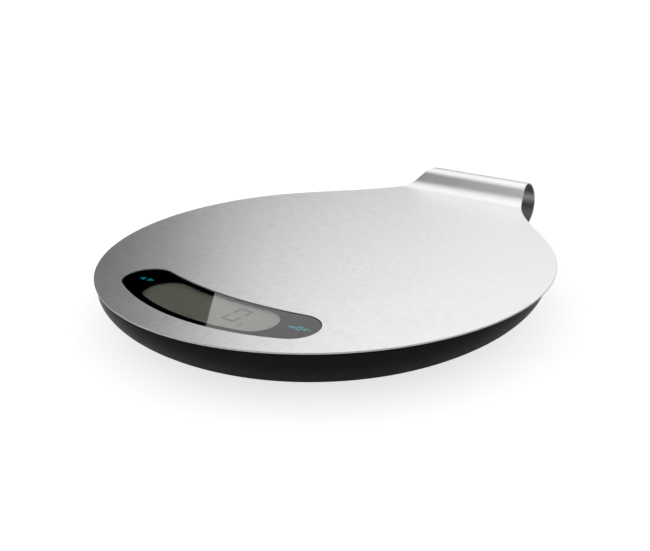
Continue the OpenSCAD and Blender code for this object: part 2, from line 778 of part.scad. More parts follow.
// A square steel sensor with a tongue cut free on three sides, its root towards the
// shell's middle
module load_sensor(x, y) color(zinc) on_shell() translate([x * foot_x, y * foot_y, 0]) {
    half = tongue_w / 2;
    difference() {
        slab(sensor_z, sensor_top) difference() {
            square(sensor_w, center = true);
            mirror([x > 0 ? 1 : 0, 0]) difference() {
                translate([-tongue_back - tongue_slot, -half - tongue_slot])
                    square([tongue_back + tongue_slot + tongue_root, tongue_w + 2 * tongue_slot]);
                translate([-tongue_back, -half]) square([tongue_back + tongue_root + 1, tongue_w]);
            }
            circle(r = peg_r + peg_fit);
        }
        at_sensor_screws(x) rod(small_screw_r + clamp_fit, sensor_z - 1, sensor_top + 1);
    }
}

// The potting over a tongue's root, flat where the lead comes out of it: the front
// leads run forwards and the back leads inwards
module sensor_potting() color([0.92, 0.92, 0.9]) on_shell()
    for (x = [-1, 1], y = [-1, 1])
        translate([x * potting_x, y * foot_y, 0])
            intersection() {
                rod(blob_r, sensor_top, sensor_top + blob_h);
                rotate(y < 0 ? 90 : (x < 0 ? 180 : 0))
                    box(-potting_flat, far, -far, far, 0, far);
            }

module sensor_screws() color(zinc) on_shell()
    for (x = [-1, 1], y = [-1, 1]) translate([x * foot_x, y * foot_y, sensor_top])
        at_sensor_screws(x) mirror([0, 0, 1])
            screw(small_screw_r, sensor_top - floor_z - 2 * thread_run, small_head_r, small_head_h);

// A ribbon's end that rises between two heights at [x, y]
module rise(x, y, z0, z1)
    box(x - ribbon_w / 2, x + ribbon_w / 2, y - ribbon_t / 2, y + ribbon_t / 2, z0, z1);

// Ribbons from the sensors' potting to the board's underside. The front ones lie on
// their sensors; the back ones go down beside the bay and along over the hatch's surround
module sensor_leads() color([0.75, 0.12, 0.1]) on_shell() {
    board_end = shell_shift + board_y - ribbon_w;
    lane_z = base_z + surround_t;
    for (x = [-1, 1]) {
        wire([[x * potting_x, -foot_y - potting_flat], [x * potting_x, board_end]],
             ribbon_w, sensor_top, sensor_top + ribbon_t);
        rise(x * potting_x, board_end, sensor_top, board_under);
        wire([[x * (potting_x - potting_flat), foot_y], [x * (lane - ribbon_w / 2), foot_y]],
             ribbon_w, sensor_top, sensor_top + ribbon_t);
        box(x * lane - ribbon_w / 2, x * lane + ribbon_w / 2, foot_y - ribbon_w / 2,
            foot_y + ribbon_w / 2, lane_z, sensor_top + eps);
        wire([[x * lane, foot_y], [x * lane, board_end]], ribbon_w, lane_z, lane_z + ribbon_t);
        rise(x * lane, board_end, lane_z, board_under);
    }
}

module foot(x, y) color(black_plastic) on_shell() translate([x * foot_x, y * foot_y, 0])
    difference() {
        union() {
            rod(foot_r, foot_under, flange_z);
            rod(flange_r, flange_z, flange_z + flange_t);
            rod(stem_r, flange_z, sensor_z);
            rod(peg_r, sensor_z - eps, sensor_top);
        }
        rod(pad_r + pad_fit, foot_under - 1, pad_top);
    }

module foot_pad(x, y) color(rubber) on_shell() translate([x * foot_x, y * foot_y, 0])
    rod(pad_r, 0, pad_top);

module battery_hatch() color(black_plastic) on_shell() translate([0, bay_y, 0]) {
    difference() {
        box(-hatch_x, hatch_x, -hatch_half, hatch_half, hatch_z, hatch_top);
        for (s = [-1, 1])
            translate([s * snap_w / 2, 0, 0])
                box(-snap_slit / 2, snap_slit / 2, hatch_half - snap_l, hatch_half + 1,
                    hatch_z - 1, hatch_top + 1);
        for (i = [1:4]) translate([0, hatch_half - ridge_w - ridge_pitch * i, 0])
            box(-ridge_l / 2, ridge_l / 2, 0, ridge_w, hatch_z - 1, hatch_z + ridge_deep);
    }
    for (s = [-1, 1]) translate([s * tab_span / 2, 0, 0]) {
        box(-tab_w / 2, tab_w / 2, -hatch_half, -hatch_half + tab_root,
            hatch_top - eps, hatch_top + tab_gap + tab_t);
        box(-tab_w / 2, tab_w / 2, -hatch_half - tab_l, -hatch_half + tab_root,
            hatch_top + tab_gap, hatch_top + tab_gap + tab_t);
    }
    box(-catch_w / 2, catch_w / 2, hatch_half - tab_gap - catch_t, hatch_half - tab_gap,
        hatch_top - eps, hatch_top + catch_h);
}

// One cell lies against each end of the bay, pushed there by a spring
module battery_cells() color([0.2, 0.35, 0.6]) on_shell()
    for (s = [-1, 1])
        translate([s * (bay_l / 2 - contact_t), bay_y + s * cell_pitch / 2, cell_z])
            rotate([0, -s * 90, 0]) {
                cylinder(r = button_r, h = button_l + eps);
                translate([0, 0, button_l]) cylinder(r = cell_d / 2, h = cell_l - button_l);
            }

// A bowed leaf that reaches from a contact plate to the flat end of a cell
module leaf(s) {
    outside = spring_l - contact_t;
    inside = outside - contact_t;
    root = leaf_rise - leaf_tip;
    rotate([90, 0, 0]) linear_extrude(leaf_w, center = true)
        polygon([[0, -leaf_rise], [s * outside, -leaf_tip], [s * outside, leaf_tip],
                 [0, leaf_rise], [0, root], [s * inside, leaf_tip / 2],
                 [s * inside, -leaf_tip / 2], [0, -root]]);
}

module contact_plate(x0, x1, y0, y1)
    box(x0, x1, y0, y1, cell_z - plate_rise, cell_z + plate_rise);

module contact_bridge() color(copper) on_shell() translate([-bay_l / 2, bay_y, 0]) {
    contact_plate(0, contact_t, -cell_pitch / 2 - plate_half, cell_pitch / 2 + plate_half);
    translate([contact_t - eps, cell_pitch / 2, cell_z]) leaf(1);
}

module solder_tab()
    box(-contact_t, 0, -solder_w / 2, solder_w / 2, cell_z + plate_rise - eps, bay_top + bay_wall);

module contact_positive() color(copper) on_shell()
    translate([bay_l / 2, bay_y + cell_pitch / 2, 0]) {
        contact_plate(-contact_t, 0, -plate_half, plate_half);
        solder_tab();
    }

module contact_negative() color(copper) on_shell()
    translate([bay_l / 2, bay_y - cell_pitch / 2, 0]) {
        contact_plate(-contact_t, 0, -plate_half, plate_half);
        solder_tab();
        translate([-contact_t + eps, 0, cell_z]) leaf(-1);
    }

// Leads over the roof of the bay to the board's back edge
module battery_leads() color([0.1, 0.1, 0.5]) on_shell()
    for (s = [-1, 1]) {
        lead_z = bay_top + bay_wall;
        start_x = bay_l / 2 - wire_t - (s < 0 ? 2 * wire_t : 0);
        end_x = (bay_l / 2 + s * 3 * wire_t) / 2;
        end_y = shell_shift + board_y - wire_t;
        turn_y = (end_y + bay_y - bay_w / 2) / 2;
        wire([[start_x, bay_y + s * cell_pitch / 2], [start_x, turn_y],
              [end_x, end_y + 6 * wire_t], [end_x, end_y]], wire_t, lead_z, lead_z + wire_t);
        box(end_x - wire_t / 2, end_x + wire_t / 2, end_y - wire_t / 2, end_y + wire_t / 2,
            board_top, lead_z + wire_t);
    }

module shell_screws() color(zinc) on_shell() at_shell_screws()
    translate([0, 0, head_z]) screw(shell_screw_r, shell_screw_l, shell_head_r, shell_head_h);

platter();
platter_bond();
top_frame();
bottom_shell();
display_lens();
mask_film();
lcd_cell();
lcd_reflector();
lcd_holder();
contact_strip();
main_board();
controller_resin();
board_parts();
board_screws();
touch_pads();
load_sensor(-1, -1);  // sensor_front_left
load_sensor(1, -1);  // sensor_front_right
load_sensor(-1, 1);  // sensor_back_left
load_sensor(1, 1);  // sensor_back_right
sensor_potting();
sensor_screws();
sensor_leads();
foot(-1, -1);  // foot_front_left
foot(1, -1);  // foot_front_right
foot(-1, 1);  // foot_back_left
foot(1, 1);  // foot_back_right
foot_pad(-1, -1);  // pad_front_left
foot_pad(1, -1);  // pad_front_right
foot_pad(-1, 1);  // pad_back_left
foot_pad(1, 1);  // pad_back_right
battery_hatch();
battery_cells();
contact_bridge();
contact_positive();
contact_negative();
battery_leads();
shell_screws();
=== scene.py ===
import json
import math

import bpy
from mathutils import Matrix, Vector, geometry


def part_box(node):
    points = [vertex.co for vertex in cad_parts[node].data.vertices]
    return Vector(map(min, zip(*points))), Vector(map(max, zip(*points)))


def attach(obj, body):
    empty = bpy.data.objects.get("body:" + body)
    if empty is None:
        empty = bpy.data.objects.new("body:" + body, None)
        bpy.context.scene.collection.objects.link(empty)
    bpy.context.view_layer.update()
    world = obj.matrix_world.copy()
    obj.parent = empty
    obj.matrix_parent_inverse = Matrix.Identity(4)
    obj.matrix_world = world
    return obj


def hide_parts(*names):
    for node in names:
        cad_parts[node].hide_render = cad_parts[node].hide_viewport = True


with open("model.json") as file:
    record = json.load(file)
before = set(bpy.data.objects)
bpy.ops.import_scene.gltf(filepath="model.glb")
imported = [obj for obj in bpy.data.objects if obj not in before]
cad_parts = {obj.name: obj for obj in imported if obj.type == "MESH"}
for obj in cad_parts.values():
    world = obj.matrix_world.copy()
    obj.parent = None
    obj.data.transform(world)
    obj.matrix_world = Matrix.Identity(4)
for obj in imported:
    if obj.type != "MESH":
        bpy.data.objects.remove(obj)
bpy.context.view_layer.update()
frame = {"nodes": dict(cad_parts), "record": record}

# Lengths in this script are millimetres, and objects are in metres
MM = 0.001

# The weighing disc and its hook
DISC_R = 95.0
SHEET_T = 0.6
SHEET_EDGE = 0.09
NECK_DEG = 48
NECK_RIM_PULL = 35
NECK_END_PULL = 40
NECK_RUN = 19
HOOK_W = 52
HOOK_R = 12.3
HOOK_ROLL = math.radians(188)
BEND_GAP = 7
BEND_R = 19
BEND = math.radians(32.5)
RAMP_L = 3.7
LIP_CORNER = 4

# The display window, measured from the disc's axis
WINDOW_FRONT = -82.6
WINDOW_BACK = -57.0
WINDOW_FRONT_R = 98.5
WINDOW_BACK_R = 165
WINDOW_END_DEG = 26.2
LENS_GAP = 0.25
LENS_EDGE = 0.12
MASK_FRONT = 3.6
MASK_BACK = 1.8
DISPLAY_END_DEG = 16.1
FRONT_ARC_Y = WINDOW_FRONT + WINDOW_FRONT_R
BACK_ARC_Y = WINDOW_BACK + WINDOW_BACK_R

# How thick ink and display segments are, and how far the mask sits in the lens
INK_T = 0.02
BOND_T = 0.03

# Heights and places from the frame
DISC_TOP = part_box("platter_bond")[1].z / MM + SHEET_T
LENS_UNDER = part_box("display_lens")[0].z / MM
LENS_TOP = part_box("display_lens")[1].z / MM
MASK_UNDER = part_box("mask_film")[0].z / MM
LCD_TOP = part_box("lcd_cell")[1].z / MM
BEND_Y = DISC_R + BEND_GAP
HOOK_Y = BEND_Y + (BEND_R + HOOK_R) * math.sin(BEND) + RAMP_L * math.cos(BEND)
HOOK_Z = (DISC_TOP + BEND_R * (1 - math.cos(BEND)) + RAMP_L * math.sin(BEND)
          - HOOK_R * math.cos(BEND))
DISC_Y = -(HOOK_Y + HOOK_R - DISC_R) / 2

# The camera that took the photograph
CAMERA_AT = (234.74, -288.70, 148.17)
CAMERA_AZIMUTH = 131.14
CAMERA_PITCH = -21.15
CAMERA_ROLL = 1.822
CAMERA_LENS = 49.85
CAMERA_SENSOR = 36

# The dark card that the steel and the lens mirror: its distance; where its mirrored edge
# crosses the lens, from the disc's axis; and in degrees, between which elevations that
# edge is straight, how far it leans out per degree below and above them, the card's
# lowest and highest elevation and the azimuth of its far end
CARD_R = 1500
CARD_EDGE = ((-5.3, -58.4), (14.7, -81.2))
CARD_STRAIGHT = (20.5, 30)
CARD_LEAN = (3, -0.15)
CARD_LOW = 0
CARD_HIGH = 88
CARD_END = 185

# The studio's light near the horizon and above, the heights between which it rises, and
# its share overhead and on the side that faces away from SKY_AZIMUTH
SKY_LOW = 1.05
SKY_HIGH = 1.37
SKY_RISE = (0.35, 0.6)
SKY_FALL = (0.7, 0.97)
SKY_TOP = 0.68
SKY_AZIMUTH = math.radians(131)
SKY_TURN = (-0.45, 0.45)
SKY_SIDE = 0.66

# The steel's darkest and lightest streaks, and its colour where they have faded out. They
# fade between these distances past the disc's axis, in a direction turned from +X by
# this angle
STREAK_DARK = (0.755, 0.755, 0.76)
STREAK_LIGHT = (0.93, 0.93, 0.935)
STEEL_CALM = (0.8425, 0.8425, 0.8475)
GRAIN_FADE = (-10, 130)
GRAIN_FADE_TURN = math.radians(41)

# The floor's reach and paper, and how the camera and mirrors see it: its own light, the
# share that takes shadow, and the radii from the disc's axis between which mirrors lose
# its own light under the object
FLOOR = 6000
PAPER = (0.8, 0.8, 0.8)
FLOOR_LIGHT = 0.74
FLOOR_SHADED = 0.35
FLOOR_FADE = (86, 114)

# The radii between which the floor stops letting light through from below. They lie
# under the base, which hides them
FLOOR_OPEN = (70, 76)


# Shapes

def arc(cx, cy, r, start, end, step=1.5):
    """Points on an arc, with angles in degrees from +X"""
    count = max(2, math.ceil(abs(end - start) / step))
    angles = [math.radians(start + (end - start) * i / count) for i in range(count + 1)]
    return [(cx + r * math.cos(a), cy + r * math.sin(a)) for a in angles]


def joined(*parts):
    """One closed loop from stretches that may share their end points"""
    loop = []
    for part in parts:
        for p in part:
            if not loop or math.dist(loop[-1], p) > 1e-4:
                loop.append(p)
    if math.dist(loop[0], loop[-1]) < 1e-4:
        loop.pop()
    return loop


def kidney(front_r, back_r, end_deg, grow=0.0):
    """A kidney outline between two arcs with round ends, counterclockwise"""
    gap = BACK_ARC_Y - FRONT_ARC_Y
    total = front_r + back_r
    end = math.radians(end_deg)
    reach = (total ** 2 - gap ** 2) / (2 * (total + gap * math.cos(end)))
    ex, ey = reach * math.sin(end), FRONT_ARC_Y - reach * math.cos(end)
    er = front_r - reach + grow
    back = math.degrees(math.atan2(ex, BACK_ARC_Y - ey))
    return joined(
        arc(0, FRONT_ARC_Y, front_r + grow, -90 - end_deg, -90 + end_deg, 1),
        arc(ex, ey, er, -90 + end_deg, 90 + back, 5),
        arc(0, BACK_ARC_Y, back_r - grow, -90 + back, -90 - back, 1),
        arc(-ex, ey, er, 90 - back, 270 - end_deg, 5))


def window_loop(grow=0.0):
    return kidney(WINDOW_FRONT_R, WINDOW_BACK_R, WINDOW_END_DEG, grow)


def display_loop():
    return kidney(WINDOW_FRONT_R - MASK_FRONT, WINDOW_BACK_R + MASK_BACK, DISPLAY_END_DEG)


def outward(loop):
    """The normals of a counterclockwise loop, longer at corners so that an inset is even"""
    normals = []
    for i, p in enumerate(loop):
        before, here, after = Vector(loop[i - 1]), Vector(p), Vector(loop[(i + 1) % len(loop)])
        d1, d2 = (here - before).normalized(), (after - here).normalized()
        n1, n2 = Vector((d1.y, -d1.x)), Vector((d2.y, -d2.x))
        normals.append((n1 + n2) / (1 + n1.dot(n2)))
    return normals


def edge_profile(thickness, radius, steps=4):
    """(inset, height, angle) round a plate's edge, from its top face to its bottom face"""
    quarter = [math.pi / 2 * i / steps for i in range(steps + 1)]
    top = [(radius * (1 - math.cos(a)), thickness - radius * (1 - math.sin(a)), a)
           for a in reversed(quarter)]
    bottom = [(radius * (1 - math.cos(a)), radius * (1 - math.sin(a)), -a) for a in quarter]
    return top + bottom


def flat_place(z0):
    """Places a plate's point on a level face at height z0, relative to the disc's axis"""
    axes = (Vector((1, 0, 0)), Vector((0, 1, 0)), Vector((0, 0, 1)))

    def place(x, y, h):
        return Vector((x, DISC_Y + y, z0 + h)), axes
    return place


def sheet_path(s):
    """y, z and slope of the sheet's top face at the distance s along it, past the disc's
    axis: flat, bent up, straight, and rolled over"""
    if s <= BEND_Y:
        return s, DISC_TOP, 0.0
    s -= BEND_Y
    if s <= BEND_R * BEND:
        a = s / BEND_R
        return BEND_Y + BEND_R * math.sin(a), DISC_TOP + BEND_R * (1 - math.cos(a)), a
    s -= BEND_R * BEND
    if s <= RAMP_L:
        return (BEND_Y + BEND_R * math.sin(BEND) + s * math.cos(BEND),
                DISC_TOP + BEND_R * (1 - math.cos(BEND)) + s * math.sin(BEND), BEND)
    a = (s - RAMP_L) / HOOK_R - BEND
    return HOOK_Y + HOOK_R * math.sin(a), HOOK_Z + HOOK_R * math.cos(a), -a


def sheet_place(x, s, h):
    """Places a point of the sheet, h above its lower face"""
    y, z, slope = sheet_path(s)
    along = Vector((0, math.cos(slope), math.sin(slope)))
    up = Vector((0, -math.sin(slope), math.cos(slope)))
    return Vector((x, DISC_Y + y, z)) + up * (h - SHEET_T), (Vector((1, 0, 0)), along, up)


def neck_edge(count=60):
    """The neck's right-hand edge as a Bezier curve, from the disc's rim to the hook"""
    a = math.radians(NECK_DEG)
    start = Vector((DISC_R * math.sin(a), DISC_R * math.cos(a)))
    end = Vector((HOOK_W / 2, HOOK_Y + NECK_RUN))
    p1 = start + NECK_RIM_PULL * Vector((-math.cos(a), math.sin(a)))
    p2 = end - Vector((0, NECK_END_PULL))
    points = []
    for i in range(count + 1):
        t = i / count
        points.append(start * (1 - t) ** 3 + p1 * 3 * t * (1 - t) ** 2
                      + p2 * 3 * t * t * (1 - t) + end * t ** 3)
    return points


def sheet_outline():
    """The sheet's outline as (x, distance along the sheet), counterclockwise, and the
    number of its points that lie on the flat part"""
    edge = neck_edge()

    def half_width(y):
        for a, b in zip(edge, edge[1:]):
            if a.y <= y <= b.y:
                return a.x + (b.x - a.x) * (y - a.y) / (b.y - a.y)
        return edge[-1].x

    flat_neck = [(p.x, p.y) for p in edge if p.y < BEND_Y] + [(half_width(BEND_Y), BEND_Y)]
    rim = arc(0, 0, DISC_R, 90 + NECK_DEG, 450 - NECK_DEG, 1)
    flat = joined([(-x, y) for x, y in reversed(flat_neck)], rim, flat_neck)

    curl = BEND_Y + BEND_R * BEND + RAMP_L
    end = curl + HOOK_R * (BEND + HOOK_ROLL)
    lip_half = half_width(HOOK_Y + HOOK_R)
    side = []
    for start, stop, count in ((BEND_Y, curl - RAMP_L, 12), (curl - RAMP_L, curl, 2),
                               (curl, end - LIP_CORNER, 60)):
        for i in range(1, count + 1):
            s = start + (stop - start) * i / count
            y, z, _ = sheet_path(s)
            side.append((half_width(y) if z > HOOK_Z else lip_half, s))
    side += arc(lip_half - LIP_CORNER, end - LIP_CORNER, LIP_CORNER, 0, 90, 10)[1:]
    return flat + side + [(-x, s) for x, s in reversed(side)], len(flat)


def new_object(name, vertices, faces, normals, uvs=None):
    mesh = bpy.data.meshes.new(name)
    mesh.from_pydata([v * MM for v in vertices], [], faces)
    mesh.polygons.foreach_set("use_smooth", [True] * len(mesh.polygons))
    if uvs:
        layer = mesh.uv_layers.new(name="brush")
        for loop in mesh.loops:
            layer.data[loop.index].uv = Vector(uvs[loop.vertex_index]) * MM
    mesh.normals_split_custom_set_from_vertices(normals)
    mesh.update()
    obj = bpy.data.objects.new(name, mesh)
    bpy.context.scene.collection.objects.link(obj)
    return obj


def plate(name, loops, thickness, radius, place, flat_count=None, slots=(0, 0)):
    """A plate of even thickness with rounded edges. The first loop is its outline and the
    others are holes, which run clockwise. Past flat_count points the outline's two sides
    mirror each other, and the plate is bent there. slots are the material slots of the
    plate's underside and of the faces round its edges."""
    vertices, normals, uvs, faces, rings = [], [], [], [], []
    loop_normals = [outward(loop) for loop in loops]
    for inset, h, a in edge_profile(thickness, radius):
        ring = []
        for loop, around in zip(loops, loop_normals):
            ids = []
            for p, n in zip(loop, around):
                q = Vector(p) - n * inset
                at, (e1, e2, up) = place(q.x, q.y, h)
                side = (e1 * n.x + e2 * n.y).normalized()
                ids.append(len(vertices))
                vertices.append(at)
                normals.append(side * math.cos(a) + up * math.sin(a))
                uvs.append((q.x, q.y))
            ring.append(ids)
        rings.append(ring)

    def cap(ring, upwards):
        first = ring[0] if flat_count is None else ring[0][:flat_count]
        outlines = [first] + ring[1:]
        ids = [i for outline in outlines for i in outline]
        flat = [[Vector((*uvs[i], 0)) for i in outline] for outline in outlines]
        for tri in geometry.tessellate_polygon(flat):
            a, b, c = [ids[i] for i in tri]
            pa, pb, pc = Vector(uvs[a]), Vector(uvs[b]), Vector(uvs[c])
            turn = (pb - pa).cross(pc - pa)
            if abs(turn) > 1e-9:
                faces.append((a, b, c) if (turn > 0) == upwards else (a, c, b))
        if flat_count is not None:
            left, right = ring[0][0], ring[0][flat_count - 1]
            for k in range((len(ring[0]) - flat_count) // 2):
                new_right, new_left = ring[0][flat_count + k], ring[0][-1 - k]
                quad = (left, right, new_right, new_left)
                faces.append(quad if upwards else quad[::-1])
                left, right = new_left, new_right

    cap(rings[0], True)
    top_count = len(faces)
    cap(rings[-1], False)
    cap_count = len(faces)
    for upper, lower in zip(rings, rings[1:]):
        for ids, under in zip(upper, lower):
            for i in range(len(ids)):
                j = (i + 1) % len(ids)
                faces.append((ids[i], under[i], under[j], ids[j]))
    obj = new_object(name, vertices, faces, normals, uvs)
    for i, polygon in enumerate(obj.data.polygons):
        if i >= top_count:
            polygon.material_index = slots[0] if i < cap_count else slots[1]
    return obj


def stroke(points, width):
    """A line of even width along points, as a counterclockwise loop"""
    loop = []
    for side in (1, -1):
        path = points if side == 1 else points[::-1]
        for i, p in enumerate(path):
            d = Vector(path[min(i + 1, len(path) - 1)]) - Vector(path[max(i - 1, 0)])
            n = Vector((d.y, -d.x)).normalized() * width / 2
            loop.append(tuple(Vector(p) + n))
    return loop


def turned(loop, x, y, deg):
    """A loop turned about the origin and moved to x, y"""
    turn = Matrix.Rotation(math.radians(deg), 2)
    return [tuple(turn @ Vector(p) + Vector((x, y))) for p in loop]


def marks(name, loops, z0):
    """Flat marks of ink thickness at height z0, each loop its own closed plate"""
    parts = [plate(name, [loop], INK_T, INK_T / 4, flat_place(z0)) for loop in loops]
    with bpy.context.temp_override(active_object=parts[0], selected_editable_objects=parts):
        bpy.ops.object.join()
    return parts[0]


# Materials

class Shade:
    """A Principled material with procedural detail. Sizes are in millimetres."""

    def __init__(self, name, color, roughness, **inputs):
        self.material = bpy.data.materials.new(name)
        self.material.use_nodes = True
        self.tree = self.material.node_tree
        self.bsdf = self.tree.nodes["Principled BSDF"]
        self.color = color
        self.bsdf.inputs["Base Color"].default_value = (*color, 1)
        self.bsdf.inputs["Roughness"].default_value = roughness
        self.material.diffuse_color = (*color, 1)
        for key, value in inputs.items():
            self.bsdf.inputs[key.replace("_", " ")].default_value = value

    def node(self, kind, **inputs):
        node = self.tree.nodes.new("ShaderNode" + kind)
        for key, value in inputs.items():
            socket = node.inputs[key.replace("_", " ")]
            if isinstance(value, bpy.types.NodeSocket):
                self.tree.links.new(value, socket)
            else:
                socket.default_value = value
        return node

    def coordinates(self, size, stretch=(1, 1, 1), source="Object"):
        scale = [1 / (size * k * MM) for k in stretch]
        coord = self.node("TexCoord").outputs[source]
        return self.node("Mapping", Vector=coord, Scale=scale).outputs["Vector"]

    def noise(self, size, stretch=(1, 1, 1), detail=2.0, source="Object"):
        """Noise from 0 to 1 with grains about size across, drawn out by stretch"""
        vector = self.coordinates(size, stretch, source)
        return self.node("TexNoise", Vector=vector, Scale=1.0, Detail=detail).outputs["Fac"]

    def between(self, value, low, high, start=0.3, end=0.7):
        """value mapped from start..end to low..high"""
        node = self.node("MapRange", Value=value, From_Min=start, From_Max=end,
                         To_Min=low, To_Max=high)
        return node.outputs["Result"]

    def math(self, operation, a, b):
        node = self.tree.nodes.new("ShaderNodeMath")
        node.operation = operation
        self.tree.links.new(a, node.inputs[0])
        self.tree.links.new(b, node.inputs[1])
        return node.outputs[0]

    def mixed(self, factor, a, b):
        node = self.tree.nodes.new("ShaderNodeMix")
        node.data_type = "RGBA"
        self.tree.links.new(factor, node.inputs["Factor"])
        for key, value in (("A", a), ("B", b)):
            socket = next(s for s in node.inputs if s.name == key and s.type == "RGBA")
            if isinstance(value, bpy.types.NodeSocket):
                self.tree.links.new(value, socket)
            else:
                socket.default_value = (*value, 1)
        return next(s for s in node.outputs if s.type == "RGBA")

    def set(self, key, socket):
        self.tree.links.new(socket, self.bsdf.inputs[key])

    def tint(self, size, amount):
        """The base colour lighter and darker by amount in patches of that size"""
        factor = self.between(self.noise(size, detail=3.0), 0, 1)
        dark = [c * (1 - amount) for c in self.color]
        light = [min(1, c * (1 + amount)) for c in self.color]
        self.set("Base Color", self.mixed(factor, dark, light))

    def rough(self, size, low, high, stretch=(1, 1, 1)):
        """Roughness from low to high in patches of that size, drawn out by stretch"""
        self.set("Roughness", self.between(self.noise(size, stretch), low, high))

    def bump(self, height, value):
        """Bumps of that height where the value goes from 0 to 1"""
        node = self.node("Bump", Height=value, Distance=height * MM, Strength=1.0)
        self.set("Normal", node.outputs["Normal"])


def moulded(name, color, roughness, grain=0.35, height=0.003, tint=0.12, **inputs):
    """Moulded plastic or rubber with a fine grain and faint patches"""
    s = Shade(name, color, roughness, **inputs)
    s.tint(14, tint)
    s.rough(2.5, roughness * 0.88, roughness * 1.12)
    s.bump(height, s.noise(grain, detail=1.0))
    return s.material


def metal(name, color, roughness, stretch=(1, 1, 1)):
    """Plated or turned metal with fine scratches"""
    s = Shade(name, color, roughness, Metallic=1.0)
    s.tint(3, 0.06)
    s.rough(1.2, roughness * 0.8, roughness * 1.2, stretch)
    s.bump(0.002, s.noise(0.25, stretch))
    return s.material


def brushed_sheet():
    """Sheet steel brushed from the display towards the hook, which is V of its UV map"""
    s = Shade("brushed_sheet_steel", (0.86, 0.86, 0.865), 0.37, Metallic=1.0)
    s.bsdf.distribution = "GGX"
    fine = s.noise(0.25, (1, 20, 1), source="UV")
    streaks = s.noise(0.55, (1, 10, 1), source="UV")
    patches = s.noise(26, (1, 2.5, 1), source="UV")
    across = s.node("Mapping", Vector=s.node("TexCoord").outputs["UV"],
                    Rotation=(0, 0, -GRAIN_FADE_TURN))
    calm = s.between(s.node("SeparateXYZ", Vector=across.outputs["Vector"]).outputs["X"],
                     0, 1, GRAIN_FADE[0] * MM, GRAIN_FADE[1] * MM)
    streaky = s.mixed(s.between(streaks, 0, 1), STREAK_DARK, STREAK_LIGHT)
    s.set("Base Color", s.mixed(calm, streaky, STEEL_CALM))
    s.set("Roughness", s.math("MULTIPLY", s.between(streaks, 0.95, 1.05),
                              s.between(patches, 0.36, 0.38)))
    s.bump(0.004, fine)
    return s.material


def clear_lens():
    s = Shade("clear_lens", (1.0, 1.0, 1.0), 0.0, IOR=1.48, Transmission_Weight=1.0)
    s.rough(30, 0.0, 0.02)
    return s.material


def display_glass():
    """The display's grey-green face, a little lighter where the reflector shows"""
    s = Shade("display_glass", (0.222, 0.245, 0.18), 0.5, Specular_IOR_Level=0.3)
    s.tint(18, 0.04)
    s.rough(0.2, 0.45, 0.6)
    s.bump(0.001, s.noise(0.12, detail=1.0))
    return s.material


def circuit_board():
    s = Shade("circuit_board", (0.02, 0.14, 0.06), 0.35)
    brick = s.node("TexBrick", Vector=s.coordinates(6), Scale=1.0, Mortar_Size=0.03)
    s.set("Base Color", s.mixed(brick.outputs["Fac"], (0.02, 0.13, 0.055), (0.05, 0.25, 0.1)))
    s.bump(0.03, brick.outputs["Fac"])
    return s.material


def cell_wrapper():
    """A plain foil wrapper with a paler band round one end"""
    s = Shade("cell_wrapper", (0.03, 0.09, 0.3), 0.3, Metallic=0.4)
    along = s.node("SeparateXYZ", Vector=s.coordinates(44)).outputs["X"]
    band = s.between(along, 0, 1, 0.30, 0.31)
    s.set("Base Color", s.mixed(band, s.color, (0.6, 0.6, 0.58)))
    s.rough(1.5, 0.25, 0.4)
    s.bump(0.01, s.noise(4, (8, 1, 1), 1.0))
    return s.material


BLACK = (0.006, 0.006, 0.0063)
looks = {
    "sheet_steel": brushed_sheet(),
    "bond_film": moulded("bond_film", (0.75, 0.75, 0.72), 0.6),
    "frame": moulded("frame_plastic", (0.02, 0.02, 0.021), 0.5),
    "shell": moulded("shell_plastic", BLACK, 0.36, 0.3, 0.0035, 0.1, Specular_IOR_Level=0.06),
    "lens": clear_lens(),
    "mask": moulded("mask_ink", (0.0006, 0.0006, 0.0006), 0.7, 0.2, 0.001,
                    Specular_IOR_Level=0.0),
    "lcd_glass": display_glass(),
    "reflector": moulded("reflector_film", (0.5, 0.52, 0.46), 0.4),
    "holder": moulded("holder_plastic", (0.7, 0.7, 0.68), 0.45),
    "strip": moulded("contact_strip_rubber", (0.6, 0.3, 0.34), 0.6),
    "board": circuit_board(),
    "resin": moulded("resin_drop", (0.008, 0.008, 0.008), 0.15, 1.5, 0.01),
    "parts": moulded("board_part", (0.45, 0.3, 0.16), 0.4),
    "screws": metal("zinc_screw", (0.62, 0.62, 0.64), 0.3),
    "touch": moulded("touch_foam", (0.05, 0.05, 0.05), 0.9, 0.4, 0.03),
    "sensor": metal("nickel_plate", (0.6, 0.6, 0.6), 0.28, (12, 1, 1)),
    "potting": moulded("white_potting", (0.8, 0.8, 0.77), 0.35, 1.2, 0.01),
    "ribbon": moulded("red_ribbon", (0.5, 0.02, 0.02), 0.35),
    "foot": moulded("foot_plastic", BLACK, 0.4, Specular_IOR_Level=0.06),
    "pad": moulded("pad_rubber", (0.03, 0.03, 0.031), 0.75, 0.25, 0.008, 0.2),
    "hatch": moulded("hatch_plastic", BLACK, 0.38, Specular_IOR_Level=0.06),
    "cells": cell_wrapper(),
    "contacts": metal("contact_spring", (0.66, 0.64, 0.6), 0.25),
    "wire": moulded("wire_skin", (0.02, 0.03, 0.3), 0.35),
}
ink = moulded("cyan_ink", (0.0, 0.52, 0.60), 0.6, 0.2, 0.001, 0.1, Specular_IOR_Level=0.0)
segment = moulded("display_segment", (0.004, 0.005, 0.004), 0.5, 0.2, 0.001, 0.05,
                  Specular_IOR_Level=0.0)
# The sheet's cut edge: its darker colour is painted shade on the edge, and its higher roughness
# is the sheared edge's own
shaded_cut_edge = metal("cut_sheet_edge_painted_shade", (0.42, 0.42, 0.43), 0.45)
# The sheet's lower face: the same steel as the top, painted darker as shade; its scratches
# drawn out along Y are the steel's own grain
underside = metal("sheet_underside_painted_shade", (0.42, 0.42, 0.425), 0.35, (1, 12, 1))


